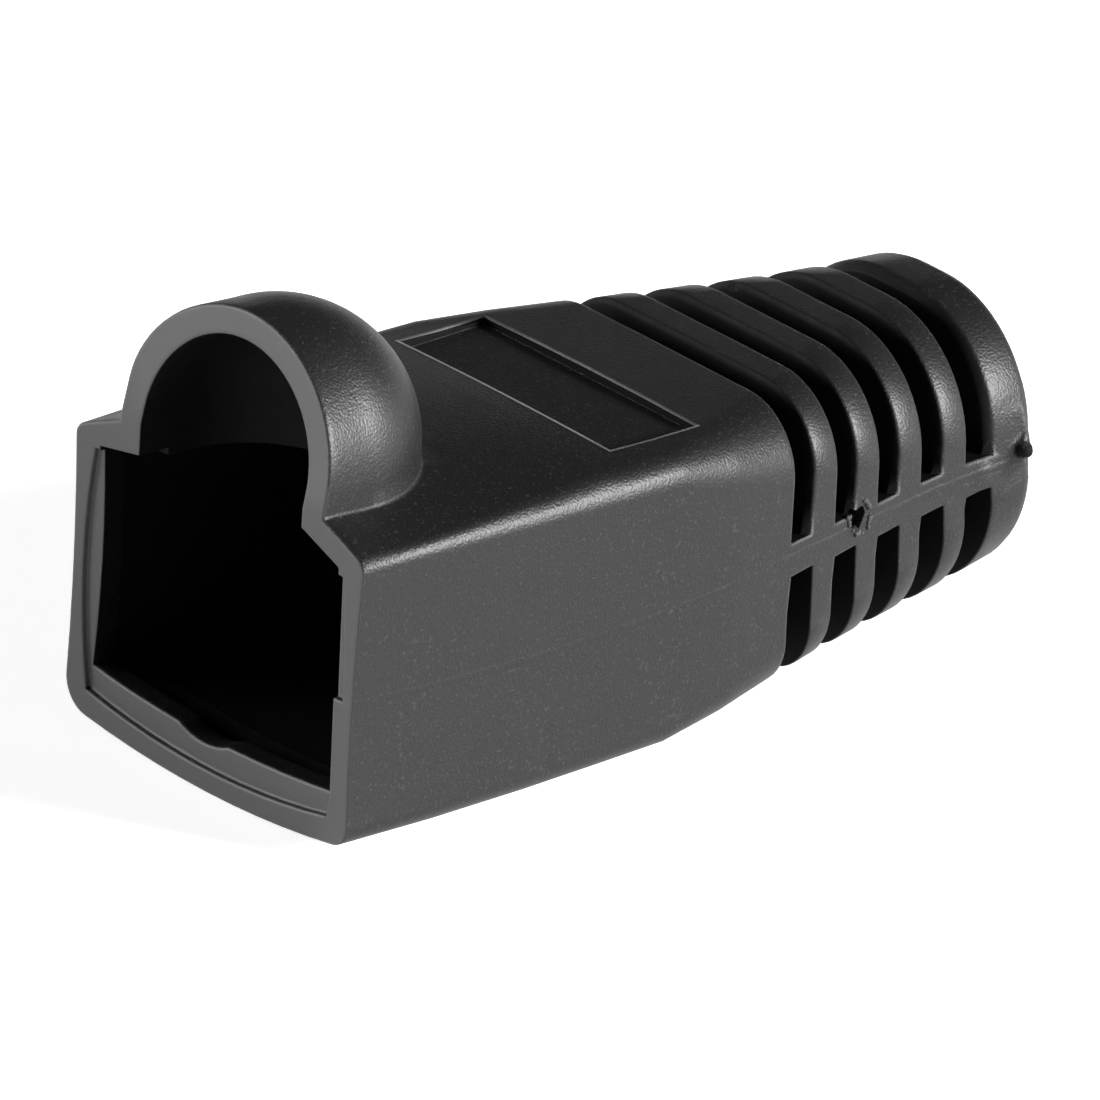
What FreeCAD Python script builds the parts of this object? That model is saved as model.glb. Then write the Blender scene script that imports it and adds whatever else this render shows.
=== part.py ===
import FreeCAD
import Part
import math
import os

# Moulded strain relief boot for an RJ45 plug, one piece of soft PVC.
# Frame: millimetres, +Z up, +X along the boot from the plug mouth to the cable exit.
# The shape is built with the mouth plane at X = 0 and the flat of its underside near Z = 0,
# and is moved at the end so that the origin is the middle of the underside of its bounding box.

# Overall size
body_length = 31.75
straight_length = 14.2
mouth_half_width = 7.0
mouth_flare = 0.13
mouth_waist = 0.12
side_swell = 0.14
shoulder_height = 10.2
roof_rise = 1.3
keel_drop = 0.6
tail_floor = 0.16
tail_sag = 0.1
front_low_round = 0.8
mouth_high_round = 0.5
front_high_round = 1.05
far_shoulder_droop = 0.2
far_corner_extra = 0.4

# Strain relief: slots, ribs, side webs and collar
slot_count = 5
first_slot_start = 19.6
slot_pitch = 2.25
upper_slot_width = 1.0
lower_slot_width = 1.2
web_above = 0.5
web_below = 0.65
rib_front_ease = 0.3
slot_corner_round = 0.2
bore_radius = 3.1
collar_low_half_width = 5.2
collar_high_half_width = 5.02
collar_low_round = 4.3
low_round_lag = 1.2
collar_high_round = 4.5
collar_edge_round = 0.45
collar_drop = 0.07

# Latch hood
hood_half_width = 5.02
hood_height = 16.32
hood_spring_height = 11.9
far_spring_rise = 0.6
hood_dome_radius = 4.77
hood_dome_x = 2.37
hood_wall = 0.94
hood_rake = 0.2
hood_rake_start = 11.1
pocket_dome_radius = 3.86
pocket_dome_x = 1.75

# Plug mouth and cavity
plug_half_width = 5.9
plug_floor = 1.25
plug_floor_crown = 0.4
plug_ceiling = 9.7
cavity_depth = 10.5
lip_depth = 1.1
lip_relief = 0.35
lip_side_bow = 0.18
near_wall_lean = 0.18
near_ceiling_rise = 0.7
far_ceiling_rise = 0.35
rim_step_depth = 0.2
rim_side_wall = 0.5
rim_floor_wall = 0.8
rim_corner_gap = 0.08
scoop_half_width = 1.2
scoop_depth = 0.28
scoop_offset = 0.35
funnel_end = 15.0
funnel_radius = 3.9

# Label field on top
label_start = 12.4
label_end = 16.2
label_half_width = 5.25
label_depth = 0.3
label_bow = 0.28

# Gate mark on the collar
gate_length = 0.95
gate_radius = 0.45
gate_ridge_length = 1.6
gate_ridge_radius = 0.27

# Derived values
axis_height = shoulder_height / 2
slot_starts = [first_slot_start + slot_pitch * i for i in range(slot_count)]
web_top = axis_height + web_above
web_bottom = axis_height - web_below
big = 60.0

# Where the front part meets the tail, and the almost flat floor and roof of the tail
crease_swell = 0.03
crease_lift = 0.07
crease_floor = -0.1
crease_keel = 0.45
crease_roof = 0.16
flat_crown = 0.05


def vec(x, y, z):
    return FreeCAD.Vector(x, y, z)


def arc(a, b, c):
    """Arc through three points."""
    return Part.Arc(a, b, c).toShape()


def smooth(t):
    """Ease from 0 to 1 with a level start and end."""
    return t * t * (3 - 2 * t)


def corner_ends(half, radius, crown_radius, crown_centre, s):
    """Centre height of a corner circle of the given radius and its touching point on the crowned arc.

    The circle touches the upright side at half and the crowned arc from inside; s is -1 below, +1 above.
    """
    cy = half - radius
    cz = crown_centre + s * math.sqrt((crown_radius - radius) ** 2 - cy ** 2)
    grow = crown_radius / (crown_radius - radius)
    return cz, (cy * grow, crown_centre + (cz - crown_centre) * grow)


def corner_arc(x, side, half, radius, cz, touch):
    """Round corner from the upright side to its touching point on the crowned arc."""
    cy = half - radius
    along = (vec(0, 1, 0) + vec(0, touch[0] - cy, touch[1] - cz).normalize()).normalize()
    middle = vec(x, side * (cy + radius * along.y), cz + radius * along.z)
    return arc(vec(x, side * half, cz), middle, vec(x, side * touch[0], touch[1]))


def section(x, half_low, half_high, low, high, r_low, r_high, keel, roof, waist, droop=0.0, extra=0.0):
    """Closed outline in the plane X = x: crowned floor and roof, four round corners, waisted sides.

    On the far side (+Y) the shoulder is lower by droop and the lower corner is rounder by extra.
    """
    keel_radius = (half_low ** 2 + keel ** 2) / (2 * keel)
    roof_radius = (half_high ** 2 + roof ** 2) / (2 * roof)
    keel_centre = low - keel + keel_radius
    roof_centre = high + roof - roof_radius
    middle_y = (half_low + half_high) / 2 - waist

    edges = []
    ends = {}
    for side in (-1, 1):
        lower = r_low + (extra if side > 0 else 0.0)
        drop = droop if side > 0 else 0.0
        low_z, low_touch = corner_ends(half_low, lower, keel_radius, keel_centre, -1)
        high_z, high_touch = corner_ends(half_high, r_high, roof_radius, roof_centre, 1)
        high_z = high_z - drop
        high_touch = (high_touch[0], high_touch[1] - drop)
        edges.append(corner_arc(x, side, half_low, lower, low_z, low_touch))
        edges.append(arc(vec(x, side * half_low, low_z), vec(x, side * middle_y, (low_z + high_z) / 2),
                         vec(x, side * half_high, high_z)))
        edges.append(corner_arc(x, side, half_high, r_high, high_z, high_touch))
        ends[side] = (vec(x, side * low_touch[0], low_touch[1]),
                      vec(x, side * high_touch[0], high_touch[1]))
    floor = arc(ends[-1][0], vec(x, 0, low - keel), ends[1][0])
    crown = arc(ends[-1][1], vec(x, 0, high + roof), ends[1][1])
    return Part.Wire([floor] + edges[3:] + [crown] + edges[2::-1])


def front_section(x):
    """Outline of the straight front part: behind the mouth the roof flattens and the sides swell a little."""
    u = x / straight_length
    fade = max(0.0, 1 - 1.8 * u)
    low = crease_floor * min(1.0, 3 * u)
    return section(
        x,
        mouth_half_width + side_swell * math.sin(math.pi * u) + crease_swell * u,
        mouth_half_width + mouth_flare * (1 - u) + crease_swell * u,
        low,
        shoulder_height + crease_lift * u,
        front_low_round,
        mouth_high_round + (front_high_round - mouth_high_round) * min(1.0, 1.5 * u),
        keel_drop + low + (crease_keel - keel_drop - crease_floor) * u,
        roof_rise + (crease_roof - roof_rise) * u ** 1.6,
        mouth_waist * max(0.15, 1 - 2 * u),
        far_shoulder_droop * fade,
        far_corner_extra * fade,
    )


def tail_section(x, inset=0.0):
    """Outline of the tapering tail, narrower and rounder towards the collar, drawn in by inset all round."""
    t = (x - straight_length) / (body_length - collar_edge_round - straight_length)
    t = min(t, 1.0)
    rise = min(1.0, 3 * t)
    sag = tail_sag * min(1.0, max(0.0, 2.5 * t - 1.1))
    wide = mouth_half_width + crease_swell
    low_growth = t - low_round_lag * t ** 4 * (1 - t)
    high_growth = t * (1.4 - 0.4 * t)
    return section(
        x,
        wide + (collar_low_half_width - wide) * smooth(t) - inset,
        wide + (collar_high_half_width - wide) * smooth(t) - inset,
        crease_floor + (tail_floor - crease_floor) * rise - sag + inset,
        shoulder_height + crease_lift * (1 - t) - collar_drop * t ** 3 - inset,
        front_low_round + (collar_low_round - front_low_round) * low_growth - inset,
        front_high_round + (collar_high_round - front_high_round) * high_growth - inset,
        crease_keel + (flat_crown - crease_keel) * rise,
        crease_roof + (flat_crown - crease_roof) * rise,
        0.15 * mouth_waist,
    )


def outer_body():
    """Straight front part and tapering rear part, meeting at a crease in the sides."""
    front = [front_section(u * straight_length) for u in (0.0, 0.28, 0.56, 0.78, 1.0)]
    stations = [straight_length, (straight_length + first_slot_start) / 2] + slot_starts
    tail = [tail_section(x) for x in stations]
    for turn in (0, 45, 90):
        a = math.radians(turn)
        reach = collar_edge_round * math.sin(a)
        inset = collar_edge_round * (1 - math.cos(a))
        tail.append(tail_section(body_length - collar_edge_round + reach, inset))
    return Part.makeLoft(front, True, True).fuse(Part.makeLoft(tail, True, True))


def arch_outline(x, half, spring, far_spring, crest, foot):
    """Arch in the plane X = x: two quarter ellipses over straight legs, closed along the foot."""
    return Part.Wire([
        quarter_arch(x, -half, spring, crest),
        quarter_arch(x, half, far_spring, crest),
        Part.makeLine(vec(x, half, far_spring), vec(x, half, foot)),
        Part.makeLine(vec(x, half, foot), vec(x, -half, foot)),
        Part.makeLine(vec(x, -half, foot), vec(x, -half, spring)),
    ])


def quarter_arch(x, side_y, spring, crest):
    """Quarter ellipse, or quarter circle, from the top of a leg at side_y up to the crest."""
    foot = vec(x, side_y, spring)
    top = vec(x, 0, crest)
    centre = vec(x, 0, spring)
    rise = crest - spring
    half = abs(side_y)
    if math.isclose(rise, half):
        return arc(foot, centre + (foot - centre + top - centre) * math.sqrt(0.5), top)
    longer, shorter = (top, foot) if rise > half else (foot, top)
    return Part.Ellipse(longer, shorter, centre).toBSpline(0, math.pi / 2).toShape()


def dome_block(front_x, half, spring, far_spring, crest, foot, dome_x, radius, dome_z):
    """Arched tunnel that closes at the rear in a quarter sphere standing on a half cylinder."""
    tunnel = Part.makeLoft([
        arch_outline(front_x, half, spring, far_spring, crest, foot),
        arch_outline(dome_x, radius, dome_z, dome_z, dome_z + radius, foot),
    ], True, True)
    centre = vec(dome_x, 0, dome_z)
    ball = Part.makeSphere(radius, centre, vec(0, 0, 1))
    post = Part.makeCylinder(radius, dome_z - foot, vec(dome_x, 0, foot))
    rear = box(dome_x, dome_x + 2 * radius, -2 * radius, 2 * radius, foot, crest + radius)
    return tunnel.fuse([ball.common(rear), post.common(rear)])


def box(x0, x1, y0, y1, z0, z1):
    return Part.makeBox(x1 - x0, y1 - y0, z1 - z0, vec(x0, y0, z0))


def prism(points, x0, x1):
    """Solid from a closed polygon of edges in the plane X = x0."""
    return Part.Face(Part.Wire(points)).extrude(vec(x1 - x0, 0, 0))


def lip_passage():
    """Plug-sized opening of the mouth lip.

    Its floor is crowned, its far side is bowed inwards, its near side leans out at the foot, and its
    ceiling slopes up from the sides to the legs of the hood.
    """
    half = plug_half_width
    corner = plug_floor + plug_floor_crown
    far_top = plug_ceiling - 0.5 * far_shoulder_droop
    leg_y = hood_half_width - hood_wall
    outline = [
        arc(vec(-1, -half - near_wall_lean, corner), vec(-1, 0, plug_floor), vec(-1, half, corner)),
        arc(vec(-1, half, corner), vec(-1, half - lip_side_bow, (corner + far_top) / 2),
            vec(-1, half, far_top)),
    ]
    tops = [vec(-1, half, far_top), vec(-1, leg_y, far_top + far_ceiling_rise),
            vec(-1, -leg_y, plug_ceiling + near_ceiling_rise), vec(-1, -half, plug_ceiling),
            vec(-1, -half - near_wall_lean, corner)]
    outline += [Part.makeLine(a, b) for a, b in zip(tops, tops[1:])]
    return prism(outline, -1.0, lip_depth + 0.1)


def plug_cavity():
    """Room behind the lip, wider than the lip opening on the floor and sides, with a crowned floor."""
    half = plug_half_width + lip_relief
    floor = plug_floor - lip_relief
    corner = floor + plug_floor_crown
    x0 = lip_depth
    edges = [
        arc(vec(x0, -half, corner), vec(x0, 0, floor), vec(x0, half, corner)),
        Part.makeLine(vec(x0, half, corner), vec(x0, half, plug_ceiling)),
        Part.makeLine(vec(x0, half, plug_ceiling), vec(x0, -half, plug_ceiling)),
        Part.makeLine(vec(x0, -half, plug_ceiling), vec(x0, -half, corner)),
    ]
    return prism(edges, x0, cavity_depth)


def rim_step():
    """Shallow step just inside the mouth.

    It runs along the floor, up the far side and down the upper half of the near side.
    """
    low_y = plug_half_width + rim_corner_gap
    high_y = plug_half_width + 3 * rim_corner_gap
    middle_y = mouth_half_width + mouth_flare / 2 - mouth_waist - rim_side_wall
    inside_y = plug_half_width - 2 * lip_side_bow
    floor = rim_floor_wall - keel_drop
    low_z = floor + 0.6
    high_z = plug_ceiling - 0.25
    corner_z = plug_floor + plug_floor_crown
    near_corner = vec(0, -plug_half_width - near_wall_lean, corner_z)
    edges = [
        arc(vec(0, -low_y, low_z), vec(0, 0, floor), vec(0, low_y, low_z)),
        arc(vec(0, low_y, low_z), vec(0, middle_y, axis_height), vec(0, high_y, high_z)),
        Part.makeLine(vec(0, high_y, high_z), vec(0, -high_y, high_z)),
        arc(vec(0, -high_y, high_z), vec(0, -(3 * middle_y + high_y) / 4, (axis_height + high_z) / 2),
            vec(0, -middle_y, axis_height)),
        Part.makeLine(vec(0, -middle_y, axis_height), vec(0, -inside_y, axis_height)),
        Part.makeLine(vec(0, -inside_y, axis_height), vec(0, -inside_y, corner_z + 0.4)),
        Part.makeLine(vec(0, -inside_y, corner_z + 0.4), near_corner),
        Part.makeLine(near_corner, vec(0, -low_y, low_z)),
    ]
    return prism(edges, 0.0, rim_step_depth)


def scoop():
    """Shallow round groove that runs through the floor of the mouth lip."""
    radius = (scoop_half_width ** 2 + scoop_depth ** 2) / (2 * scoop_depth)
    centre_z = plug_floor - scoop_depth + radius
    return Part.makeCylinder(radius, lip_depth + 1.0, vec(-0.5, scoop_offset, centre_z), vec(1, 0, 0))


def funnel():
    """Round lead from the plug cavity down to the cable bore."""
    return Part.makeCone(funnel_radius, bore_radius, funnel_end - cavity_depth,
                         vec(cavity_depth, 0, axis_height), vec(1, 0, 0))


def label_cutter():
    """Flat-floored field with a bowed front edge."""
    z0 = shoulder_height - label_depth
    front_left = vec(label_start, label_half_width, z0)
    front_right = vec(label_start, -label_half_width, z0)
    edges = [
        arc(front_right, vec(label_start - label_bow, 0, z0), front_left),
        Part.makeLine(front_left, vec(label_end, label_half_width, z0)),
        Part.makeLine(vec(label_end, label_half_width, z0), vec(label_end, -label_half_width, z0)),
        Part.makeLine(vec(label_end, -label_half_width, z0), front_right),
    ]
    return Part.Face(Part.Wire(edges)).extrude(vec(0, 0, 3.0))


def slots():
    """Upper and lower slots; the webs at half height are what is left between them."""
    cutters = []
    for start in slot_starts:
        cutters.append(box(start, start + upper_slot_width, -10, 10, web_top, big))
        lower = box(start, start + lower_slot_width, -10, 10, -big, web_bottom)
        corner = [e for e in lower.Edges if on_plane(e, start, web_bottom)]
        cutters.append(lower.makeFillet(slot_corner_round, corner))
    return cutters


def on_plane(edge, x, z=None):
    """True for an edge that lies in the plane X = x, and at height z when one is given."""
    limits = edge.BoundBox
    in_x = abs(limits.XMin - x) < 1e-3 and abs(limits.XMax - x) < 1e-3
    in_z = z is None or (abs(limits.ZMin - z) < 1e-3 and abs(limits.ZMax - z) < 1e-3)
    return in_x and in_z


def ease_rib_fronts(shape):
    """Ease the upper front edge of every rib and of the collar with a flat."""
    fronts = []
    for edge in shape.Edges:
        middle = edge.BoundBox.Center
        for start in slot_starts:
            if on_plane(edge, start + upper_slot_width) and middle.z > web_top + 0.1:
                fronts.append(edge)
    return shape.makeChamfer(rib_front_ease, fronts)


def rake_cutter():
    """Wedge that leans the hood's rim back as it rises."""
    top = 20.0
    reach = hood_rake * (top - hood_rake_start)
    points = [vec(-2, -10, hood_rake_start), vec(0, -10, hood_rake_start),
              vec(reach, -10, top), vec(-2, -10, top)]
    face = Part.Face(Part.makePolygon(points + [points[0]]))
    return face.extrude(vec(0, 20, 0))


def gate_mark():
    """Broken stub of the sprue gate at the rear of the collar, with a torn ridge above it."""
    seat_y = 0.6 - collar_high_half_width
    base = vec(body_length - 1.3 * gate_radius, seat_y, axis_height + 0.28)
    stub = Part.makeCone(gate_radius, 0.7 * gate_radius, gate_length, base, vec(0.12, -1.0, 0.12))
    foot = vec(body_length - 1.4 * gate_ridge_radius, seat_y - 0.6, axis_height + 0.2)
    ridge = Part.makeCone(gate_ridge_radius, 0.3 * gate_ridge_radius, gate_ridge_length, foot,
                          vec(-0.04, 0.15, 1.0))
    return stub.fuse(ridge)


body = outer_body().cut(slots())
body = ease_rib_fronts(body)
hood = dome_block(0.0, hood_half_width, hood_spring_height, hood_spring_height + far_spring_rise,
                  hood_height, 8.0, hood_dome_x, hood_dome_radius, hood_height - hood_dome_radius)
boot = body.fuse(hood)

# Hollow the front: rim step, mouth lip, plug cavity, latch pocket and funnel.
pocket_crest = hood_height - hood_wall
pocket = dome_block(-1.0, hood_half_width - hood_wall, hood_spring_height, hood_spring_height,
                    pocket_crest, plug_ceiling - 1.0, pocket_dome_x, pocket_dome_radius,
                    pocket_crest - pocket_dome_radius)
hollow = lip_passage().fuse([plug_cavity(), rim_step(), scoop(), pocket, funnel()])
boot = boot.cut(hollow)
boot = boot.cut(rake_cutter())

# Cable bore and the label field.
bore = Part.makeCylinder(bore_radius, big, vec(cavity_depth - 1.0, 0, axis_height), vec(1, 0, 0))
boot = boot.cut(bore)
boot = boot.cut(label_cutter())
boot = boot.fuse(gate_mark())

# Move the origin to the middle of the underside of the bounding box.
boot.translate(vec(-body_length / 2, 0, keel_drop))
limits = boot.optimalBoundingBox(False, False)
print("solids", len(boot.Solids), "valid", boot.isValid(), "volume mm3", round(boot.Volume, 1))
print("x", round(limits.XMin, 3), round(limits.XMax, 3))
print("y", round(limits.YMin, 3), round(limits.YMax, 3))
print("z", round(limits.ZMin, 3), round(limits.ZMax, 3))

os.makedirs("parts", exist_ok=True)
boot.exportStep("parts/boot.step")
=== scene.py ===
# %% [markdown]
# # A strain relief boot for a network plug
# One soft PVC moulding: a square mouth with a domed hood for the plug's latch, a shallow label field, and
# a tail cut by slots so that it bends with the cable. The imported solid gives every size, in metres, with
# +X towards the cable and +Z up. This lesson dresses it: eased edges, a spark-eroded mould texture, the
# marks that moulding leaves, and a plain studio. Places on the boot are named in millimetres from the
# mouth, from the middle plane and from the underside, because that is how a drawing of it would give them.

# %% Load the frame
import math
import random

import bmesh
import bpy
from mathutils import Matrix, Quaternion, Vector
from mathutils.bvhtree import BVHTree


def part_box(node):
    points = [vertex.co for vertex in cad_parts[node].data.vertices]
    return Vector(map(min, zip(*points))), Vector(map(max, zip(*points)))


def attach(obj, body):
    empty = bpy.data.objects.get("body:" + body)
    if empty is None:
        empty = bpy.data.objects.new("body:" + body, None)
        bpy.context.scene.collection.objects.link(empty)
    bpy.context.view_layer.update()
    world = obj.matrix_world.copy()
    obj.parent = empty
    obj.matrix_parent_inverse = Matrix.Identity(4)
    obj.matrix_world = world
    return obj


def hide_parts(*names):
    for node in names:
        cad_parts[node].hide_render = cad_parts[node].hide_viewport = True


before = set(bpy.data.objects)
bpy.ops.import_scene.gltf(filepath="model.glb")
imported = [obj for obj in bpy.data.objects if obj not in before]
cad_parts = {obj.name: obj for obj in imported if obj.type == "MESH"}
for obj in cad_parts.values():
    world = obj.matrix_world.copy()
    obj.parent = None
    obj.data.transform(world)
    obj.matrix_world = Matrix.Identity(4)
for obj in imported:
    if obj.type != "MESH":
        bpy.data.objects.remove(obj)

MM = 0.001
scene = bpy.context.scene
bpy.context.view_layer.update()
low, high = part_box("boot")
mouth_x = low.x


def in_mm(point):
    """Millimetres from the mouth, from the middle plane and from the underside."""
    return (point.x - mouth_x) / MM, point.y / MM, (point.z - low.z) / MM


def within(point, box):
    """Tell whether a point lies in a box, given as the start and end in mm for each of the three axes."""
    return all(start < value < end for value, (start, end) in zip(in_mm(point), box))


print("boot from", [round(v / MM, 2) for v in low], "to", [round(v / MM, 2) for v in high], "mm")

# %% [markdown]
# ## The view
# A catalogue view of a small part is taken from far away with a long lens, so that parallel edges stay
# nearly parallel. Three directions fix it: R runs to the right of the picture, U runs up and B points back
# from the part to the lens. They are worked out from the turn round the part, the height above it and a
# slight roll of the camera. The aim point is the one that falls in the middle of the picture.

# %% Camera
VIEW_TURN = math.radians(-43.02)
VIEW_HEIGHT = math.radians(24.64)
VIEW_ROLL = math.radians(3.40)
PICTURE_WIDTH = 36.22 * MM
CAMERA_DISTANCE = 1.25
SENSOR_WIDTH = 36.0
AIM_FROM_MOUTH, AIM_HEIGHT = 15 * MM, 6.6 * MM
SHIFT_RIGHT, SHIFT_UP = -0.19 * MM, -1.70 * MM

right = Vector((math.cos(VIEW_TURN), math.sin(VIEW_TURN), 0))
B = Vector((math.sin(VIEW_TURN) * math.cos(VIEW_HEIGHT), -math.cos(VIEW_TURN) * math.cos(VIEW_HEIGHT),
            math.sin(VIEW_HEIGHT)))
up = B.cross(right)
R = math.cos(VIEW_ROLL) * right + math.sin(VIEW_ROLL) * up
U = math.cos(VIEW_ROLL) * up - math.sin(VIEW_ROLL) * right
aim = Vector((mouth_x + AIM_FROM_MOUTH, 0, low.z + AIM_HEIGHT)) + SHIFT_RIGHT * R + SHIFT_UP * U

camera_data = bpy.data.cameras.new("camera")
camera_data.sensor_width = SENSOR_WIDTH
camera_data.lens = SENSOR_WIDTH * CAMERA_DISTANCE / PICTURE_WIDTH
camera_data.clip_end = 10.0
camera = bpy.data.objects.new("camera", camera_data)
scene.collection.objects.link(camera)
turn = Matrix((R, U, B)).transposed().to_4x4()
camera.matrix_world = Matrix.Translation(aim + B * CAMERA_DISTANCE) @ turn
scene.camera = camera
print("lens", round(camera_data.lens, 1), "mm at", CAMERA_DISTANCE, "m")

# %% [markdown]
# ## The boot's skin
# A moulded edge is never sharp: the cutter that made the mould and the soft plastic itself leave a small
# round, and that round is the bright line which shows where every edge runs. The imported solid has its
# edges sharp, as loose triangles. A bevel needs clean edges to walk along, so the skin starts as a copy
# whose doubles are merged, whose slivers beside the sharp edges are closed and whose flat faces are joined
# again. The stub of the sprue gate is too fine for that and keeps its triangles.

# %% Copy the solid and clean its edges
SHARP_TURN = math.radians(28)
FOLD = math.radians(150)
SAME_PLANE = math.radians(0.5)
SAME_PLACE = 0.002 * MM
NO_LENGTH = 0.01 * MM
SLIVER = 0.05 * MM
GATE_NIB = ((30.25, 32), (-8, -4.3), (5.2, 8.2))

boot_mesh = bpy.data.meshes.new("boot_skin")
bm = bmesh.new()
bm.from_mesh(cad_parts["boot"].data)
bmesh.ops.remove_doubles(bm, verts=bm.verts, dist=SAME_PLACE)
print("merged skin:", len(bm.verts), "vertices,", len(bm.faces), "faces,",
      sum(not e.is_manifold for e in bm.edges), "open edges")


def on_gate_nib(edge):
    return within((edge.verts[0].co + edge.verts[1].co) / 2, GATE_NIB)


def sharp_edges(bm):
    return [e for e in bm.edges if e.is_manifold and SHARP_TURN < e.calc_face_angle(0.0) < FOLD]


def close_slivers(bm):
    """Collapse the very short edges beside the sharp ones."""
    for _ in range(3):
        rims = {v for e in sharp_edges(bm) for v in e.verts}
        slivers = [e for e in bm.edges if e.calc_length() < SLIVER
                   and (e.verts[0] in rims or e.verts[1] in rims) and not on_gate_nib(e)]
        bmesh.ops.collapse(bm, edges=slivers, uvs=False)


close_slivers(bm)
bmesh.ops.dissolve_degenerate(bm, edges=bm.edges, dist=NO_LENGTH)
bmesh.ops.dissolve_limit(bm, angle_limit=SAME_PLANE, use_dissolve_boundaries=False,
                         verts=bm.verts, edges=bm.edges, delimit={"NORMAL"})
print("cleaned skin:", len(bm.verts), "vertices,", len(bm.faces), "faces,",
      len(sharp_edges(bm)), "sharp edges")

# %% [markdown]
# ## The sunken roof behind the mouth
# Soft PVC shrinks as it cools, and the thin roof behind the stiff mouth frame sinks most. The mouth keeps
# its peak beside the hood's legs, and a few millimetres behind it the roof has lost a quarter of its
# crown. The solid carries the plain crown, so the skin's roof is cut into strips across, and each strip's
# height above the shoulders is scaled by a curve read along the boot.

# %% Cut the roof into strips and sink them
SHOULDER = 10.8
ROOF = ((-1, 12.2), (-8, 8), (SHOULDER - 0.3, 12.4))
LOOKS_UP = 0.6
CUT_DOUBLES = 0.001 * MM
CROWN_KEPT = [(0.0, 1.25), (0.5, 1.22), (1.0, 1.13), (1.5, 1.01), (2.0, 0.9), (2.5, 0.83),
              (3.0, 0.79), (3.5, 0.75), (4.0, 0.73), (5.0, 0.72), (6.0, 0.73), (7.0, 0.76),
              (8.0, 0.8), (9.0, 0.85), (10.0, 0.9), (11.0, 0.95), (12.0, 1.0)]


def roof_faces(bm):
    return [f for f in bm.faces if f.normal.z > LOOKS_UP and within(f.calc_center_median(), ROOF)]


def cut_across(bm, faces, from_mouth):
    """Cut some faces by the plane across the boot that lies so many millimetres from the mouth."""
    around = list({v for f in faces for v in f.verts}) + list({e for f in faces for e in f.edges})
    bmesh.ops.bisect_plane(bm, geom=around + faces, plane_co=(mouth_x + from_mouth * MM, 0, 0),
                           plane_no=(1, 0, 0), dist=CUT_DOUBLES)


def crown_kept(x):
    for (x0, k0), (x1, k1) in zip(CROWN_KEPT, CROWN_KEPT[1:]):
        if x <= x1:
            return k0 + (k1 - k0) * max(0.0, x - x0) / (x1 - x0)
    return 1.0


bm.normal_update()
for start, _ in CROWN_KEPT[1:]:
    cut_across(bm, roof_faces(bm), start)

roof_verts = {v for f in roof_faces(bm) for v in f.verts}
deepest = 0.0
for v in roof_verts:
    x, y, z = in_mm(v.co)
    if z > SHOULDER:
        sunk = (z - SHOULDER) * (1 - crown_kept(x))
        v.co.z -= sunk * MM
        deepest = max(deepest, sunk)
bm.normal_update()
close_slivers(bm)
print("roof:", len(roof_verts), "vertices, sunk by up to", round(deepest, 2), "mm")

# %% [markdown]
# ## The label field
# The writing field is a shallow recess whose front edge bows a little towards the mouth. Its walls are so
# low that they show as hair-thin lines, and the solid's floor is twice as deep, so the floor is lifted
# here. One function tells how far a point lies outside the outline, and it also finds the burr round the
# edge below.

# %% Lift the floor of the label field
LABEL_START, LABEL_END, LABEL_HALF_WIDTH, LABEL_BOW = 12.4, 16.2, 5.25, 0.28
LABEL_FLOOR = SHOULDER - 0.3
FLOOR_LIFT = 0.15 * MM


def outside_label(point):
    """Distance in mm from the outline of the label field, negative within it."""
    x, y, z = in_mm(point)
    front = LABEL_START - LABEL_BOW * (1 - (y / LABEL_HALF_WIDTH) ** 2)
    return max(abs(y) - LABEL_HALF_WIDTH, front - x, x - LABEL_END)


lifted = [v for v in bm.verts
          if abs(in_mm(v.co)[2] - LABEL_FLOOR) < 0.03 and outside_label(v.co) < 0.05]
for v in lifted:
    v.co.z += FLOOR_LIFT
print("label floor:", len(lifted), "vertices lifted")

# %% [markdown]
# ## Rib fronts
# The slot blades pull the soft ribs a little as they leave the mould, which rounds the front of each rib.
# The solid carries that as a flat that looks forward and out; here its outer edge moves forward, which
# leaves about the round that the photo shows. The edge is told by the face beyond it, which looks neither
# forward nor back.

# %% Narrow the flats at the rib fronts
FLAT_TRIM = 0.18 * MM
RIBS_START, RIBS_END = 17.2, 29.4


def is_flat(face):
    return -0.93 < face.normal.x < -0.3 and RIBS_START < in_mm(face.calc_center_median())[0] < RIBS_END


bm.normal_update()
trimmed = set()
for face in bm.faces:
    if is_flat(face):
        for edge in face.edges:
            if any(-0.2 < f.normal.x < 0.35 for f in edge.link_faces if f is not face):
                trimmed.update(edge.verts)
for v in trimmed:
    v.co.x -= FLAT_TRIM
bm.normal_update()
print("rib fronts:", len(trimmed), "vertices moved forward")

# %% [markdown]
# ## Eased edges
# Each sharp edge is rounded by a bevel of two steps. Its width stays below the shortest edge that it
# meets, because a wider bevel would run into itself where the ribs meet the webs. The rim of the label
# field takes a wider one, whose faces are raised a little as the burr that the mould's cutter left. The
# gate nib and the tiny ledges at the feet of the rib fronts are left out.

# %% Ease the sharp edges
EDGE_EASE = 0.06 * MM
LABEL_EASE = 0.1 * MM
BURR_HEIGHT = 0.05 * MM
LEDGE_LOW, LEDGE_HIGH, LEDGE_LENGTH = 6.0, 6.4, 0.5 * MM
LEVEL = 0.03


def on_ledge(edge):
    """The tiny level triangle at the foot of each rib front, on top of the web."""
    x, y, z = in_mm(edge.verts[0].co)
    level = abs(z - in_mm(edge.verts[1].co)[2]) < LEVEL and LEDGE_LOW < z < LEDGE_HIGH
    return level and edge.calc_length() < LEDGE_LENGTH and x > RIBS_START


def on_label(edge):
    return all(abs(outside_label(v.co)) < 0.05 and in_mm(v.co)[2] > SHOULDER - 0.4 for v in edge.verts)


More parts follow.
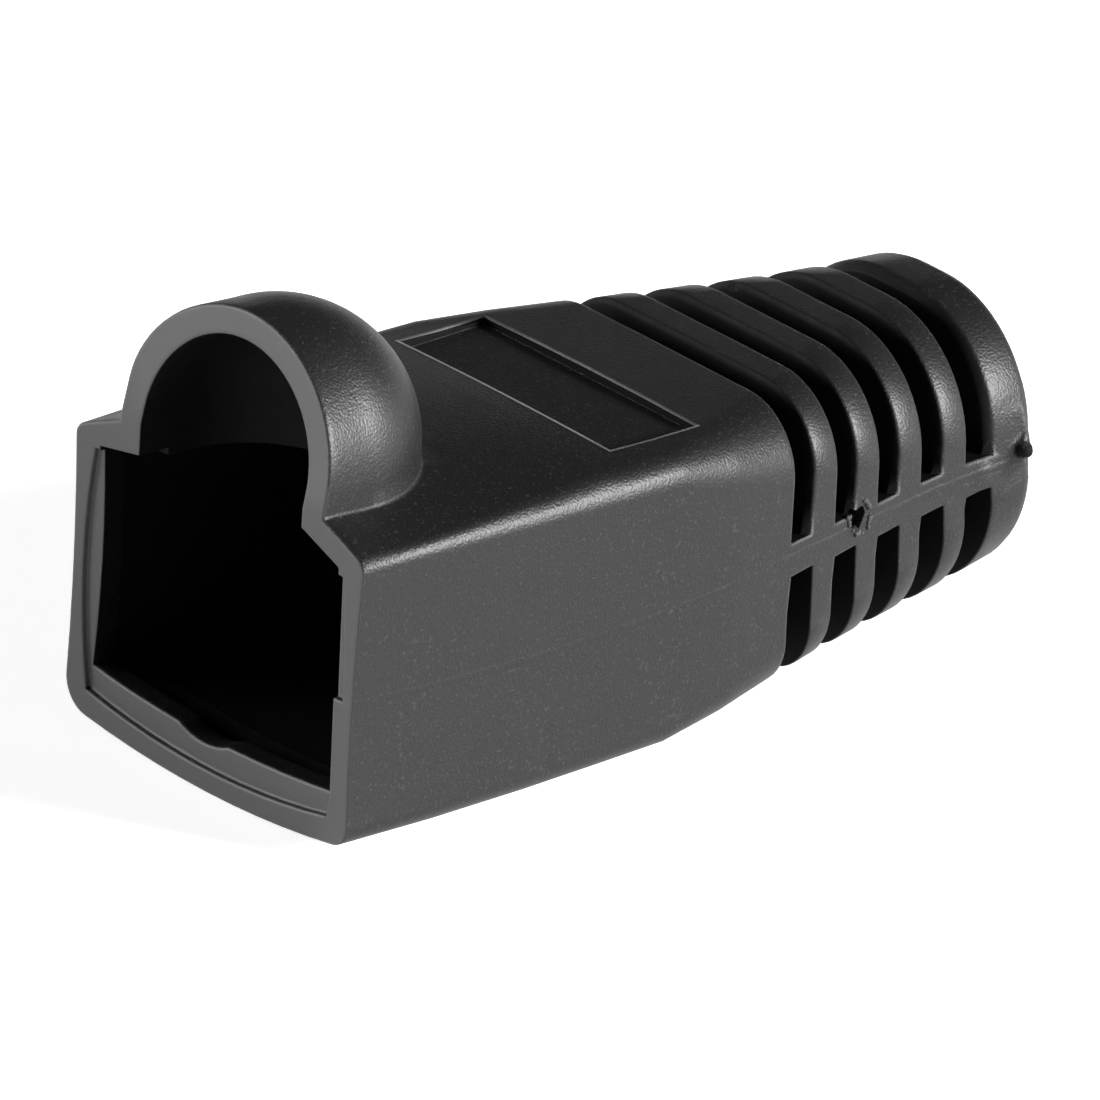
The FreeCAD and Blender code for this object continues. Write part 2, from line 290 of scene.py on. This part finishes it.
def ease(edges, width):
    bmesh.ops.bevel(bm, geom=edges, offset=width, offset_type="OFFSET", segments=2, profile=0.5,
                    affect="EDGES", clamp_overlap=False, loop_slide=True, material=-1)


sharp = [e for e in sharp_edges(bm) if not (on_gate_nib(e) or on_ledge(e))]
label_rim = [e for e in sharp if on_label(e) and e.is_convex]
ease([e for e in sharp if not on_label(e)], EDGE_EASE)
ease([e for e in label_rim if e.is_valid], LABEL_EASE)
burr = [v for v in bm.verts
        if -0.03 < outside_label(v.co) < 0.07 and in_mm(v.co)[2] > SHOULDER - 0.06]
for v in burr:
    v.co.z += BURR_HEIGHT
bm.normal_update()
print("eased skin:", len(bm.faces), "faces,", sum(not e.is_manifold for e in bm.edges), "open edges")

# %% [markdown]
# ## The torn gate nib
# The sprue was twisted off the collar by hand. Soft PVC stretches before it parts, so the stub ends in a
# dull, uneven knob and not in a clean disc. Its last quarter of a millimetre is drawn in towards a point a
# little below its middle line, each vertex by its own share, and the end face is domed.

# %% Tear the end of the gate nib
NIB_TIP = Vector((high.x - 0.485 * MM, -5.36 * MM, low.z + 6.09 * MM))
NIB_AXIS = Vector((0.12, -1.0, 0.12)).normalized()
NIB_REACH = 0.42 * MM
NIB_DOME = 0.07 * MM
TORN_LENGTH = 0.25 * MM
TORN_DROOP = Vector((0, 0, 0.12 * MM))

rng = random.Random(3)
torn_end = set()
for v in bm.verts:
    depth = (NIB_TIP - v.co).dot(NIB_AXIS)
    spoke = v.co - NIB_TIP + depth * NIB_AXIS
    if abs(depth) < TORN_LENGTH and spoke.length < NIB_REACH:
        drawn = (1 - max(depth, 0.0) / TORN_LENGTH) * rng.uniform(0.3, 0.42)
        v.co -= drawn * (spoke + TORN_DROOP)
        torn_end.add(v)
end_faces = [f for f in bm.faces if f.normal.dot(NIB_AXIS) > 0.9 and torn_end.issuperset(f.verts)]
bmesh.ops.poke(bm, faces=end_faces, offset=NIB_DOME)
bm.normal_update()
print("gate nib:", len(torn_end), "vertices drawn in,", len(end_faces), "end faces domed")

# %% [markdown]
# ## The wiped strip of the passage floor
# The plug slides in over the first strip of the passage floor and wipes it, so this strip keeps the finish
# of the outside and no painted shade. It is cut off from the rest, because a face has one material.

# %% Cut off the wiped floor
WIPED_FLOOR = 2.3
PASSAGE_FLOOR = ((-1, 9), (-6, 6), (-1, 3.5))
LEVEL_FACE = 0.7

floor_faces = [f for f in bm.faces
               if f.normal.z > LEVEL_FACE and within(f.calc_center_median(), PASSAGE_FLOOR)]
cut_across(bm, floor_faces, WIPED_FLOOR)
print("passage floor:", len(floor_faces), "faces cut at", WIPED_FLOOR, "mm")

# %% [markdown]
# ## Which side of the mould a face met, and which faces take painted shade
# The outside met the spark-eroded cavity, whose texture shows on it. The inner faces met the cores and the
# thin blades that made the slots: they are dull, and they are painted darker as the shade in the openings.
# The rules go from the clear cases to the doubtful ones. The mouth frame with its groove and lip is
# outside.
# The back of the hood's legs and two walls of the label field take the painted shade, and the torn nib
# takes the same dull darker black. A face that looks towards the middle of the passage is an inner one,
# and so is one within the hood's arch or dome. What is left is an inner face when most lines drawn from
# it, along its normal and aslant, run into the boot again, so that it lies in shade.

# %% Tell the inner faces
FACES_MOUTH = -0.8
FRAME_DEPTH, LIP_DEPTH, GROOVE_DEPTH = 1.12, 1.2, 0.6
LIP_HEIGHT, LIP_HALF_WIDTH, GROOVE_INNER, GROOVE_HEIGHT = 4, 5.8, 6.05, 11
HOOD_FOOT, HOOD_SPRING, HOOD_LEG_INNER = 10.2, 12.5, 4.5
HOOD_HALF_WIDTH, HOOD_RISE, INNER_SHARE = 5.02, 4.42, 0.9
DOME_START, DOME_END, DOME_FOOT, DOME_HEIGHT, POCKET_RADIUS = 2.37, 7, 10.5, 12.15, 4.3
BACK_OF_LEG = ((1.1, 2), (-5.9, 5.9), (HOOD_FOOT, 11.05))
NIB_KNOB = ((30.3, 32), (-8, -5.28), (5.4, 8.2))
REAR_ROOF = 12
LABEL_WALL = 0.3
PASSAGE_AXIS = 5.7 * MM
LINE_START, LINE_LENGTH = 0.02 * MM, 14 * MM

face_tree = BVHTree.FromBMesh(bm)


def share_blocked(face):
    """Share of nine lines from the face that hit the boot."""
    start = face.calc_center_median() + face.normal * LINE_START
    across = face.normal.orthogonal().normalized()
    hits = 0
    for i in range(9):
        along = face.normal.copy()
        if i:
            along = face.normal + Quaternion(face.normal, i * math.pi / 4) @ across
        hits += face_tree.ray_cast(start, along, LINE_LENGTH)[0] is not None
    return hits / 9


def in_mouth_frame(face, x, y, z):
    """The ground front, the groove beside it and the lip with the wiped strip behind it."""
    in_groove = x < GROOVE_DEPTH and z < GROOVE_HEIGHT and abs(y) > GROOVE_INNER
    lip_end = WIPED_FLOOR if face.normal.z > LEVEL_FACE else LIP_DEPTH
    on_lip = x < lip_end and z < LIP_HEIGHT and abs(y) < LIP_HALF_WIDTH
    return in_groove or on_lip or (face.normal.x < FACES_MOUTH and x < FRAME_DEPTH)


def met_a_core_or_in_shade(face):
    """Tell whether a face met a core or a slot blade of the mould, or lies in shade, and so takes the
    painted shade.
    """
    middle = face.calc_center_median()
    x, y, z = in_mm(middle)
    if in_mouth_frame(face, x, y, z):
        return False
    if within(middle, NIB_KNOB) or (face.normal.x < FACES_MOUTH and within(middle, BACK_OF_LEG)):
        return True
    if z > HOOD_FOOT and x > REAR_ROOF:
        # Two walls of the label field take the painted shade.
        shaded_wall = face.normal.x < -0.5 or (face.normal.y < -0.8 and y > 0)
        return shaded_wall and abs(outside_label(middle)) < LABEL_WALL
    inward = Vector((middle.x, 0, low.z + PASSAGE_AXIS)) - middle
    if face.normal.dot(inward) > 0.08 * inward.length:
        return True
    if x < DOME_START and z > HOOD_FOOT:
        if z < HOOD_SPRING:
            return abs(y) < HOOD_LEG_INNER
        return (y / HOOD_HALF_WIDTH) ** 2 + ((z - HOOD_SPRING) / HOOD_RISE) ** 2 < INNER_SHARE ** 2
    if x < DOME_END and z > DOME_FOOT:
        return (x - DOME_START) ** 2 + y ** 2 + (z - DOME_HEIGHT) ** 2 < POCKET_RADIUS ** 2
    return share_blocked(face) > 0.5


print("rules ready for", len(bm.faces), "faces")

# %% [markdown]
# Two attributes go along with the material of each face. One marks the mouth's front, which met the ground
# parting face and is smooth; it is also painted paler as painted light on this forward-facing face. The
# other marks the burr round the label field for its painted highlight, which is weaker along the rear and
# weakest on the far side, where less light catches it.

# %% Mark the faces
FRONT_DEPTH = 1.6
REAR_HIGHLIGHT, FAR_HIGHLIGHT = 0.35, 0.15
BURR_WIDTH = 0.12 * MM
STAY_SHARP = math.radians(50)

rim_and_light_layer = bm.faces.layers.float.new("ground_rim_and_light")
burr_highlight_layer = bm.faces.layers.float.new("label_burr_highlight")


def burr_highlight_strength(face):
    """How strong the painted highlight on the burr is on a face, from 0 to 1."""
    middle = face.calc_center_median()
    x, y, z = in_mm(middle)
    narrow = min(e.calc_length() for e in face.edges) < BURR_WIDTH
    if not (narrow and abs(outside_label(middle)) < 0.1 and z > SHOULDER - 0.06):
        return 0.0
    if x > LABEL_END - 0.1:
        return REAR_HIGHLIGHT
    return FAR_HIGHLIGHT if y > LABEL_HALF_WIDTH - 0.1 else 1.0


for face in bm.faces:
    face.smooth = True
    x, y, z = in_mm(face.calc_center_median())
    face[burr_highlight_layer] = burr_highlight_strength(face)
    # Inner and occluded faces take the dull black with painted shade; the burr keeps the outer material.
    face.material_index = 1 if met_a_core_or_in_shade(face) and not face[burr_highlight_layer] else 0
    front_end = FRONT_DEPTH if z < HOOD_FOOT else FRAME_DEPTH
    face[rim_and_light_layer] = 1.0 if face.normal.x < -0.9 and x < front_end else 0.0
print("inner faces:", sum(f.material_index for f in bm.faces),
      "rim faces:", int(sum(f[rim_and_light_layer] for f in bm.faces)),
      "burr faces:", int(sum(f[burr_highlight_layer] for f in bm.faces)))
bm.to_mesh(boot_mesh)
bm.free()

boot = bpy.data.objects.new("boot_skin", boot_mesh)
scene.collection.objects.link(boot)
boot_mesh.set_sharp_from_angle(angle=STAY_SHARP)
flow = boot.modifiers.new("flat_faces_stay_flat", "WEIGHTED_NORMAL")
flow.keep_sharp = True

# %% [markdown]
# ## Colours and nodes
# Colours are written as they look on a screen and turned to the linear values that the renderer mixes. One
# small helper adds a shader node with its settings and links, so that a material reads as a list. Three
# more stand for what comes up again and again: a sum, a smooth change and a colour laid over another.

# %% Colour and node helpers


def colour(text):
    """Linear colour from an sRGB hex value such as '1a1a1b'."""
    values = [int(text[i:i + 2], 16) / 255 for i in (0, 2, 4)]
    linear = [v / 12.92 if v <= 0.04045 else ((v + 0.055) / 1.055) ** 2.4 for v in values]
    return (*linear, 1.0)


def node(tree, kind, links=None, **settings):
    """Add a node. A setting names a property or an input; links maps an input to another node's output."""
    made = tree.nodes.new(kind)
    for name, value in settings.items():
        if hasattr(made, name):
            setattr(made, name, value)
        else:
            made.inputs[name.replace("_", " ")].default_value = value
    for name, source in (links or {}).items():
        tree.links.new(source, made.inputs[name])
    return made


def calc(tree, operation, *values):
    """Add a Math node. Each value is a number or another node's output."""
    made = tree.nodes.new("ShaderNodeMath")
    made.operation = operation
    for i, value in enumerate(values):
        if isinstance(value, (int, float)):
            made.inputs[i].default_value = value
        else:
            tree.links.new(value, made.inputs[i])
    return made.outputs[0]


def fade(tree, value, start, end, first=1.0, last=0.0):
    """A smooth change from one value to another between two readings."""
    made = node(tree, "ShaderNodeMapRange", {"Value": value}, interpolation_type="SMOOTHSTEP",
                From_Min=start, From_Max=end, To_Min=first, To_Max=last)
    return made.outputs["Result"]


def tint(tree, factor, under, over):
    """Lay a colour over the one below it, which is a hex value or another node's output."""
    made = node(tree, "ShaderNodeMix", {"Factor": factor}, data_type="RGBA")
    if isinstance(under, str):
        made.inputs[6].default_value = colour(under)
    else:
        tree.links.new(under, made.inputs[6])
    made.inputs[7].default_value = colour(over)
    return made.outputs[2]


def new_material(name):
    material = bpy.data.materials.new(name)
    material.use_nodes = True
    material.node_tree.nodes.clear()
    return material, material.node_tree


print("black of the boot, linear:", [round(v, 4) for v in colour("1b1b1c")[:3]])

# %% [markdown]
# ## Moulded soft PVC
# Plasticised PVC is a slightly waxy black: a dielectric of index 1.5 with a soft sheen. Its mould was
# spark-eroded, which prints fine round grains of about 0.05 mm on the part. They scatter the highlight
# into a wide matt glow with tiny glints, instead of the clear line of a polished face. They are drawn
# somewhat larger, because finer ones would vanish between the pixels. The edges carry a painted highlight:
# a Bevel node tells how far the normal turns near an edge, and that turn mixes in a paler grey, so the
# edges show as thin light lines. An Ambient Occlusion node keeps this painted highlight off the foot of a
# wall, so concave edges stay dark. Paler specks painted as glints of the grain, a paler front of the mouth
# painted as the light on that forward-facing face, and a painted highlight on the burr round the label
# field are laid over the black in the same way.

# %% Soft PVC of the outside: grain and colour
GRAIN = 0.085 * MM
SPECK = 0.12 * MM
PATCH = 1.6 * MM
EDGE_ROUND = 0.18 * MM
CORNER = 0.2 * MM

pvc, tree = new_material("moulded_soft_pvc")
place = node(tree, "ShaderNodeTexCoord").outputs["Object"]
grain = node(tree, "ShaderNodeTexNoise", {"Vector": place}, Scale=1 / GRAIN, Detail=0.0)
specks = node(tree, "ShaderNodeTexNoise", {"Vector": place}, Scale=1 / SPECK, Detail=0.0)
patches = node(tree, "ShaderNodeTexNoise", {"Vector": place},
               Scale=1 / PATCH, Detail=3.0, Roughness=0.6)
rim_and_light = node(tree, "ShaderNodeAttribute", attribute_name="ground_rim_and_light").outputs["Fac"]
burr_highlight = node(tree, "ShaderNodeAttribute", attribute_name="label_burr_highlight").outputs["Fac"]

soft_edges = node(tree, "ShaderNodeBevel", samples=6, Radius=EDGE_ROUND)
flat = node(tree, "ShaderNodeNewGeometry").outputs["Normal"]
agree = node(tree, "ShaderNodeVectorMath", {0: soft_edges.outputs["Normal"], 1: flat},
             operation="DOT_PRODUCT")
near_edge = node(tree, "ShaderNodeMapRange", {"Value": agree.outputs["Value"]},
                 From_Min=0.985, From_Max=0.8, To_Min=0.0, To_Max=1.0).outputs["Result"]
open_sky = node(tree, "ShaderNodeAmbientOcclusion", samples=4, only_local=True,
                Distance=CORNER).outputs["AO"]
# Painted highlight on the convex edges; the Ambient Occlusion keeps it off the foot of a wall.
edge_highlight = calc(tree, "MULTIPLY", near_edge, fade(tree, open_sky, 0.7, 0.95, 0.0, 1.0))
# Paler specks painted as the glints of the grain.
glint_specks = node(tree, "ShaderNodeMapRange", {"Value": specks.outputs["Fac"]},
             From_Min=0.67, From_Max=0.77, To_Min=0.0, To_Max=0.35).outputs["Result"]

# The mouth's front is painted paler as the light on that forward-facing face; its grain is also shallower.
black = tint(tree, rim_and_light, "1b1b1c", "4c4c4d")
black = tint(tree, glint_specks, black, "4e4e4f")
# The paler grey of the painted edge highlight.
black = tint(tree, edge_highlight, black, "727274")
# The burr round the label field gets a painted highlight, paler grey.
black = tint(tree, burr_highlight, black, "8a8a8c")
print("outer colour laid over in", len([n for n in tree.nodes if n.type == "MIX"]), "steps")

# %% [markdown]
# ## Marks of the moulding
# The two halves of the mould meet half-way up the side. They leave a hair-thin raised line, which dips a
# little in the middle of the boot and grows to streaky flash along the web between the slots. A thick spot
# inside draws the side in as it cools, which leaves one shallow upright sink mark near the bottom. Both
# are far lower than a pixel is wide, so they are bumps in the material and not shapes. The grain goes on
# top of them, and is almost ground away at the front of the mouth.

# %% Parting line, sink mark and grain
LINE_HEIGHT, LINE_LOW_AT, LINE_LEVEL_FROM, LINE_BEND = 5.45 * MM, 10 * MM, 19 * MM, 3.5
FLASH_START, FLASH_FULL = 18.5 * MM, 20.2 * MM
SINK_AT, SINK_HALF_WIDTH = 8.5 * MM, 0.5 * MM
SINK_FULL, SINK_TOP = 2.6 * MM, 3.2 * MM
MARK_HEIGHT = 0.03 * MM
GRAIN_DEPTH, GROUND_DEPTH = 0.013 * MM, 0.003 * MM

axes = node(tree, "ShaderNodeSeparateXYZ", {0: place})
along = calc(tree, "SUBTRACT", axes.outputs["X"], mouth_x)
height = calc(tree, "SUBTRACT", axes.outputs["Z"], low.z)
turned = node(tree, "ShaderNodeSeparateXYZ", {0: flat})
on_side = fade(tree, calc(tree, "ABSOLUTE", turned.outputs["Y"]), 0.5, 0.8, 0.0, 1.0)
from_low = calc(tree, "SUBTRACT", calc(tree, "MINIMUM", along, LINE_LEVEL_FROM), LINE_LOW_AT)
line = calc(tree, "MULTIPLY_ADD", calc(tree, "MULTIPLY", from_low, from_low), LINE_BEND, LINE_HEIGHT)
off_line = calc(tree, "ABSOLUTE", calc(tree, "SUBTRACT", height, line))
flash = calc(tree, "MULTIPLY", fade(tree, along, FLASH_START, FLASH_FULL, 0.5, 1.1),
             patches.outputs["Fac"])
raised = calc(tree, "MULTIPLY", fade(tree, off_line, 0.02 * MM, 0.16 * MM), flash)
off_sink = calc(tree, "ABSOLUTE", calc(tree, "SUBTRACT", along, SINK_AT))
sunken = calc(tree, "MULTIPLY", fade(tree, off_sink, 0.0, SINK_HALF_WIDTH),
              fade(tree, height, SINK_FULL, SINK_TOP))
marks = calc(tree, "MULTIPLY", calc(tree, "MULTIPLY_ADD", sunken, -0.5, raised), on_side)
moulded = node(tree, "ShaderNodeBump", {"Height": marks, "Normal": soft_edges.outputs["Normal"]},
               Strength=1.0, Distance=MARK_HEIGHT)

texture_depth = fade(tree, rim_and_light, 0.0, 1.0, GRAIN_DEPTH, GROUND_DEPTH)
pits = node(tree, "ShaderNodeBump", {"Height": grain.outputs["Fac"], "Normal": moulded.outputs["Normal"],
                                     "Distance": texture_depth}, Strength=1.0)
dull = node(tree, "ShaderNodeMapRange", {"Value": patches.outputs["Fac"]}, To_Min=0.40, To_Max=0.48)
body = node(tree, "ShaderNodeBsdfPrincipled",
            {"Normal": pits.outputs["Normal"], "Base Color": black, "Roughness": dull.outputs["Result"]},
            IOR=1.5)
print("outer material so far:", len(tree.nodes), "nodes")

# %% [markdown]
# The faces of the cores and slot blades never see the polish of handling. They are a dull black with dust
# in it, painted darker as shade and given only the faintest sheen, so that the mouth and the slots read as
# deep openings. The outer material turns to that painted shade round the front of each rib, where the
# faces look forward into the slots. In the torn spot beside the second rib a near-black is painted as the
# shade inside the torn pit.

# %% Painted shade of the inside, of the rib fronts and of the torn spot
TORN_X, TORN_Z, TORN_RADIUS = 23.08 * MM, 6.02 * MM, 0.4 * MM
FRAY = 0.3 * MM
CLOUD = 0.9 * MM
RIPPLE_HEIGHT = 0.03 * MM


def core_finish_and_shade(tree, place):
    """The dull black that the cores and blades left, darker and with less sheen as painted shade."""
    cloud = node(tree, "ShaderNodeTexNoise", {"Vector": place},
                 Scale=1 / CLOUD, Detail=3.0, Roughness=0.6)
    matt = node(tree, "ShaderNodeMapRange", {"Value": cloud.outputs["Fac"]}, To_Min=0.55, To_Max=0.75)
    ripple = node(tree, "ShaderNodeBump", {"Height": cloud.outputs["Fac"]},
                  Strength=0.6, Distance=RIPPLE_HEIGHT)
    # The darker colour and weak sheen are painted shade; the roughness is the dull finish.
    made = node(tree, "ShaderNodeBsdfPrincipled",
                {"Normal": ripple.outputs["Normal"], "Roughness": matt.outputs["Result"]},
                Base_Color=colour("0b0b0c"), IOR=1.5, Specular_IOR_Level=0.15)
    return made.outputs["BSDF"]


soft_axes = node(tree, "ShaderNodeSeparateXYZ", {0: soft_edges.outputs["Normal"]})
# Painted shade on the rib faces that look forward into the slots.
rib_front_shade = calc(tree, "MULTIPLY", fade(tree, soft_axes.outputs["X"], -0.8, -0.4),
                 fade(tree, along, 17.4 * MM, 17.6 * MM, 0.0, 1.0))
frayed = node(tree, "ShaderNodeTexNoise", {"Vector": place}, Scale=1 / FRAY, Detail=2.0)
torn_x = calc(tree, "SUBTRACT", along, TORN_X)
torn_z = calc(tree, "SUBTRACT", height, TORN_Z)
torn_z_squared = calc(tree, "MULTIPLY", torn_z, torn_z)
torn_gap = calc(tree, "SQRT", calc(tree, "MULTIPLY_ADD", torn_x, torn_x, torn_z_squared))
ragged = calc(tree, "MULTIPLY_ADD", frayed.outputs["Fac"], 0.5 * MM, torn_gap)
torn = calc(tree, "MULTIPLY", fade(tree, ragged, TORN_RADIUS + 0.18 * MM, TORN_RADIUS + 0.26 * MM),
            calc(tree, "LESS_THAN", axes.outputs["Y"], 0.0))
rib_front_shaded = node(tree, "ShaderNodeMixShader",
              {0: rib_front_shade, 1: body.outputs["BSDF"], 2: core_finish_and_shade(tree, place)})
# A near-black painted as the shade inside the torn pit.
torn_pit_shade = node(tree, "ShaderNodeBsdfDiffuse", Color=colour("050505"))
torn_spot_shaded = node(tree, "ShaderNodeMixShader",
                 {0: torn, 1: rib_front_shaded.outputs["Shader"], 2: torn_pit_shade.outputs["BSDF"]})
node(tree, "ShaderNodeOutputMaterial", {"Surface": torn_spot_shaded.outputs["Shader"]})

# The material of the inner faces: dull black with painted shade.
inside_pvc_with_shade, tree = new_material("moulded_soft_pvc_core_finish_and_shade")
place = node(tree, "ShaderNodeTexCoord").outputs["Object"]
node(tree, "ShaderNodeOutputMaterial", {"Surface": core_finish_and_shade(tree, place)})

boot_mesh.materials.append(pvc)
boot_mesh.materials.append(inside_pvc_with_shade)
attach(boot, "root")
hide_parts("boot")
print("boot dressed in", [m.name for m in boot_mesh.materials])

# %% [markdown]
# ## Torn flash
# Where the web meets the second rib, the flash was torn off by hand and took some plastic with it. A
# ragged lip of the soft material stands round the spot that is painted near-black as the shade in the torn
# pit, with a crumb left inside. Small balls, dented at random, are set close together along the lip and
# pressed half-way into the face below; a ray from outside finds that face. Each is given as its place
# along the boot, its height and its radius.

# %% Lip round the torn spot
TORN_LIP = [(22.52, 6.14), (22.74, 5.72), (23.1, 5.42), (23.5, 5.42), (23.76, 5.8), (23.66, 6.3),
            (23.16, 6.72)]
TORN_CRUMBS = [(22.98, 5.94, 0.1), (23.1, 6.06, 0.08), (22.26, 6.2, 0.1)]
BALL_SPACING = 0.09
BALL_DRIFT = 0.06
GAP_SHARE = 0.22
NEAR_SIDE = -5.6 * MM

rng = random.Random(5)
spots = list(TORN_CRUMBS)
for (x0, z0), (x1, z1) in zip(TORN_LIP, TORN_LIP[1:]):
    steps = max(1, round(math.hypot(x1 - x0, z1 - z0) / BALL_SPACING))
    for i in range(steps):
        if rng.random() < GAP_SHARE:
            continue
        share = i / steps
        spots.append((x0 + (x1 - x0) * share + rng.uniform(-BALL_DRIFT, BALL_DRIFT),
                      z0 + (z1 - z0) * share + rng.uniform(-BALL_DRIFT, BALL_DRIFT),
                      rng.uniform(0.05, 0.12)))

torn_mesh = bpy.data.meshes.new("torn_flash")
bm = bmesh.new()
balls = 0
for x, z, radius in spots:
    start = Vector((mouth_x + x * MM, low.y - 5 * MM, low.z + z * MM))
    seat = face_tree.ray_cast(start, Vector((0, 1, 0)))[0]
    if seat is None or seat.y > NEAR_SIDE:
        continue
    ball = bmesh.ops.create_icosphere(bm, subdivisions=2, radius=radius * MM)["verts"]
    stretch = Vector((rng.uniform(0.9, 1.4), rng.uniform(0.5, 0.9), rng.uniform(0.9, 1.4)))
    for v in ball:
        v.co = v.co * stretch * rng.uniform(0.9, 1.06) + seat
    balls += 1
print("torn lip:", balls, "balls")
bm.to_mesh(torn_mesh)
bm.free()
torn_mesh.shade_smooth()
torn_flash = bpy.data.objects.new("torn_flash", torn_mesh)
scene.collection.objects.link(torn_flash)
torn_mesh.materials.append(pvc)
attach(torn_flash, "root")

# %% [markdown]
# ## A plain studio
# The part lies on a wide white sheet whose far edge turns up a little, so that a low view meets white
# paper too. The sheet is lit by the lamps and keeps the part's shadow. A glow that only the camera and the
# part's own sheen can see brings it to full white without throwing more light on the part.

# %% Floor
SHEET_RADIUS = 3.0
SHEET_EDGE = 0.3
PAPER_SEEN = 0.72
PAPER_MIRRORED = 0.45

floor_mesh = bpy.data.meshes.new("floor")
bm = bmesh.new()
bmesh.ops.create_circle(bm, cap_ends=True, segments=64, radius=SHEET_RADIUS)
rim = bmesh.ops.extrude_edge_only(bm, edges=[e for e in bm.edges if e.is_boundary])
turned_up = [v for v in rim["geom"] if isinstance(v, bmesh.types.BMVert)]
bmesh.ops.translate(bm, vec=(0, 0, SHEET_EDGE), verts=turned_up)
bm.to_mesh(floor_mesh)
bm.free()
floor = bpy.data.objects.new("floor", floor_mesh)
floor.location = (0, 0, low.z)
scene.collection.objects.link(floor)

paper, tree = new_material("white_paper")
sheet = node(tree, "ShaderNodeBsdfDiffuse", Color=colour("ffffff"))
path = node(tree, "ShaderNodeLightPath")
mirrored = calc(tree, "MAXIMUM", path.outputs["Is Glossy Ray"], path.outputs["Is Transmission Ray"])
lift = calc(tree, "MULTIPLY_ADD", path.outputs["Is Camera Ray"], PAPER_SEEN,
            calc(tree, "MULTIPLY", mirrored, PAPER_MIRRORED))
glow = node(tree, "ShaderNodeEmission", {"Strength": lift}, Color=colour("ffffff"))
both = node(tree, "ShaderNodeAddShader", {0: sheet.outputs["BSDF"], 1: glow.outputs["Emission"]})
node(tree, "ShaderNodeOutputMaterial", {"Surface": both.outputs["Shader"]})
floor_mesh.materials.append(paper)
print("sheet", 2 * SHEET_RADIUS, "m across")

# %% [markdown]
# ## Room and lamps
# Above the sheet the room is dim, as round any product table: a dark room is what the top of a black part
# mirrors. Two softboxes light it. The key stands low on the right, towards the cable end, and draws the
# highlights on the hood, the shoulder and the ribs. The other stands on the far left before the mouth, and
# lights the front of the mouth frame aslant. The part is so small that a softbox is far away for it, so
# each is a sun lamp whose disc is as wide as the box looks from there.

# %% World and lamps
ROOM_LIGHT = 0.06
LAMP_DISTANCE = 0.5

world = bpy.data.worlds.new("studio")
scene.world = world
world.use_nodes = True
tree = world.node_tree
tree.nodes.clear()
backdrop = node(tree, "ShaderNodeBackground", Color=colour("ffffff"), Strength=ROOM_LIGHT)
node(tree, "ShaderNodeOutputWorld", {"Surface": backdrop.outputs[0]})


def softbox(name, towards, spread, strength):
    """A far softbox. Spread is the width of its disc in degrees."""
    data = bpy.data.lights.new(name, "SUN")
    data.angle = math.radians(spread)
    data.energy = strength
    made = bpy.data.objects.new(name, data)
    made.rotation_euler = Vector(towards).to_track_quat("Z", "Y").to_euler()
    made.location = Vector(towards).normalized() * LAMP_DISTANCE
    scene.collection.objects.link(made)
    print(name, "of strength", strength, "and", spread, "degrees wide")


softbox("key_softbox", (0.54, -0.77, 0.33), 16, 5.2)
softbox("mouth_softbox", (-0.73, 0.66, 0.14), 36, 3.6)

# %% [markdown]
# ## Colour management
# The Standard view transform shows the colours as they were chosen.

# %% Colour management
scene.view_settings.view_transform = "Standard"
